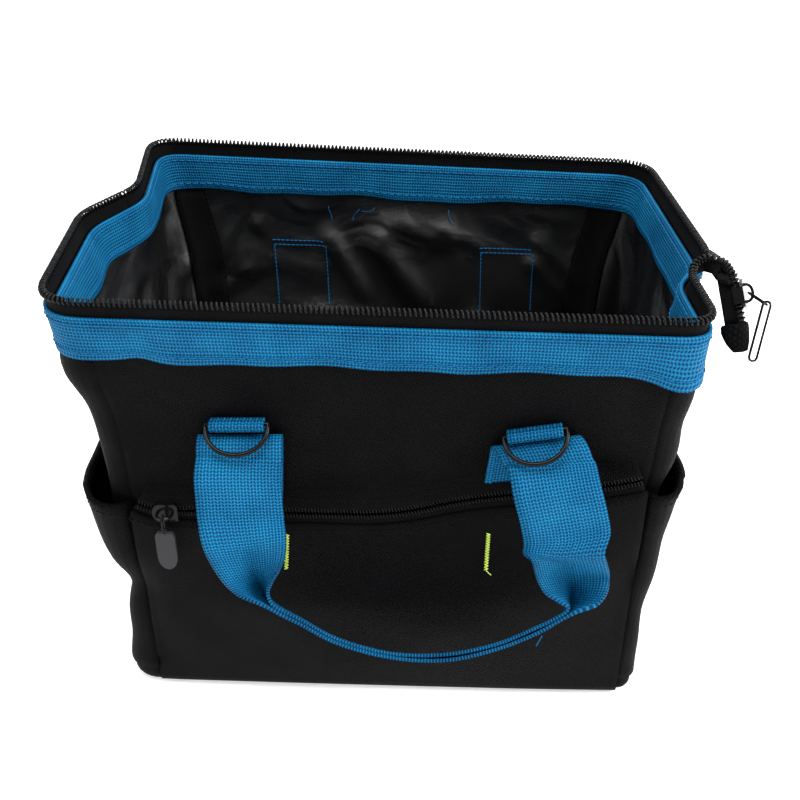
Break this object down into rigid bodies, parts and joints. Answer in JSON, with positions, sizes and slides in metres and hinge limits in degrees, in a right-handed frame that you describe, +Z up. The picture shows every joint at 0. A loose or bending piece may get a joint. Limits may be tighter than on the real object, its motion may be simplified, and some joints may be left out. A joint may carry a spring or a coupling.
{
  "type": "tool bag",
  "caption": "Open-top fabric tool bag with a webbing-trimmed zip mouth, zipped front pocket, side pockets, D-rings and swinging webbing handles.",
  "frame": {"origin": "on the floor, under the middle of the flat base", "axes": "+X to the right and +Z up as seen from the front pocket's side, which faces -Y"},
  "size_m": [0.3259, 0.2767, 0.2311],
  "materials": {
    "black_oxford_fabric": "woven, coated inside",
    "black_stiffener_board": "matte sheet",
    "blue_webbing": "ribbed weave",
    "black_zip_tape": "woven tape",
    "black_zip_coil": "satin moulded coil",
    "black_lacquered_metal": "gloss lacquer",
    "spring_steel_strip": "plain rolled",
    "grey_moulded_pull": "matte moulded"
  },
  "bodies": {
    "bag": {"bottom_panel": "black_oxford_fabric", "base_board": "black_stiffener_board", "front_panel": "black_oxford_fabric", "back_panel": "black_oxford_fabric", "left_gusset": "black_oxford_fabric", "right_gusset": "black_oxford_fabric", "front_pocket_panel": "black_oxford_fabric", "left_side_pocket": "black_oxford_fabric", "right_side_pocket": "black_oxford_fabric", "zip_end_tab": "black_oxford_fabric", "seam_binding_front_left": "black_zip_tape", "seam_binding_front_right": "black_zip_tape", "seam_binding_back_left": "black_zip_tape", "seam_binding_back_right": "black_zip_tape", "outer_mouth_band": "blue_webbing", "inner_mouth_band": "blue_webbing", "front_mouth_stay": "spring_steel_strip", "back_mouth_stay": "spring_steel_strip", "mouth_zip_tape_front": "black_zip_tape", "mouth_zip_tape_back": "black_zip_tape", "mouth_zip_coil_front": "black_zip_coil", "mouth_zip_coil_back": "black_zip_coil", "pocket_zip_tape_upper": "black_zip_tape", "pocket_zip_tape_lower": "black_zip_tape", "pocket_zip_coil_upper": "black_zip_coil", "pocket_zip_coil_lower": "black_zip_coil", "front_handle_root_left": "blue_webbing", "front_handle_root_right": "blue_webbing", "back_handle_root_left": "blue_webbing", "back_handle_root_right": "blue_webbing", "front_d_ring_loop_left": "blue_webbing", "front_d_ring_loop_right": "blue_webbing", "back_d_ring_loop_left": "blue_webbing", "back_d_ring_loop_right": "blue_webbing"},
    "front_handle": {"front_handle": "blue_webbing"},
    "back_handle": {"back_handle": "blue_webbing"},
    "front_d_ring_left": {"front_d_ring_left": "black_lacquered_metal"},
    "front_d_ring_right": {"front_d_ring_right": "black_lacquered_metal"},
    "back_d_ring_left": {"back_d_ring_left": "black_lacquered_metal"},
    "back_d_ring_right": {"back_d_ring_right": "black_lacquered_metal"},
    "mouth_slider": {"mouth_slider": "black_lacquered_metal"},
    "mouth_pull_ring": {"mouth_pull_ring": "black_lacquered_metal"},
    "mouth_pull_tab": {"mouth_pull_tab": "black_lacquered_metal"},
    "pocket_slider": {"pocket_slider": "black_lacquered_metal"},
    "pocket_pull": {"pocket_pull": "grey_moulded_pull"}
  },
  "joints": [
    {"name": "front_handle_swing", "type": "hinge", "parent": "bag", "child": "front_handle", "pos_m": [0, -0.1106, 0.1534], "axis": [-1, 0, 0], "range_deg": [0, 120]},
    {"name": "back_handle_swing", "type": "hinge", "parent": "bag", "child": "back_handle", "pos_m": [0, 0.1092, 0.1534], "axis": [1, 0, 0], "range_deg": [0, 120]},
    {"name": "front_left_ring_swing", "type": "hinge", "parent": "bag", "child": "front_d_ring_left", "pos_m": [-0.0632, -0.1017, 0.1675], "axis": [-0.9995, 0, -0.0314], "range_deg": [0, 75]},
    {"name": "front_right_ring_swing", "type": "hinge", "parent": "bag", "child": "front_d_ring_right", "pos_m": [0.0679, -0.1021, 0.1675], "axis": [-0.9877, 0, -0.1564], "range_deg": [0, 75]},
    {"name": "back_left_ring_swing", "type": "hinge", "parent": "bag", "child": "back_d_ring_left", "pos_m": [-0.0632, 0.0992, 0.1675], "axis": [0.9995, 0, 0.0314], "range_deg": [0, 75]},
    {"name": "back_right_ring_swing", "type": "hinge", "parent": "bag", "child": "back_d_ring_right", "pos_m": [0.0679, 0.0992, 0.1675], "axis": [0.9877, 0, 0.1564], "range_deg": [0, 75]},
    {"name": "mouth_slider_travel", "type": "slide", "parent": "bag", "child": "mouth_slider", "axis": [0.1598, -0.5794, -0.7992], "range_m": [0, 0.0055]},
    {"name": "mouth_pull_ring_swing", "type": "hinge", "parent": "mouth_slider", "child": "mouth_pull_ring", "pos_m": [0.1595, -0.0684, 0.2185], "axis": [-0.3856, -0.7819, 0.4898], "range_deg": [0, 80]},
    {"name": "mouth_pull_tab_swing", "type": "hinge", "parent": "mouth_pull_ring", "child": "mouth_pull_tab", "pos_m": [0.1666, -0.0738, 0.2154], "axis": [-0.3856, -0.7819, 0.4898], "range_deg": [0, 60]},
    {"name": "pocket_slider_travel", "type": "slide", "parent": "bag", "child": "pocket_slider", "axis": [1, 0, 0], "range_m": [0, 0.1]},
    {"name": "pocket_pull_swing", "type": "hinge", "parent": "pocket_slider", "child": "pocket_pull", "pos_m": [-0.1005, -0.1077, 0.1175], "axis": [-1, 0, 0], "range_deg": [0, 120]}
  ]
}
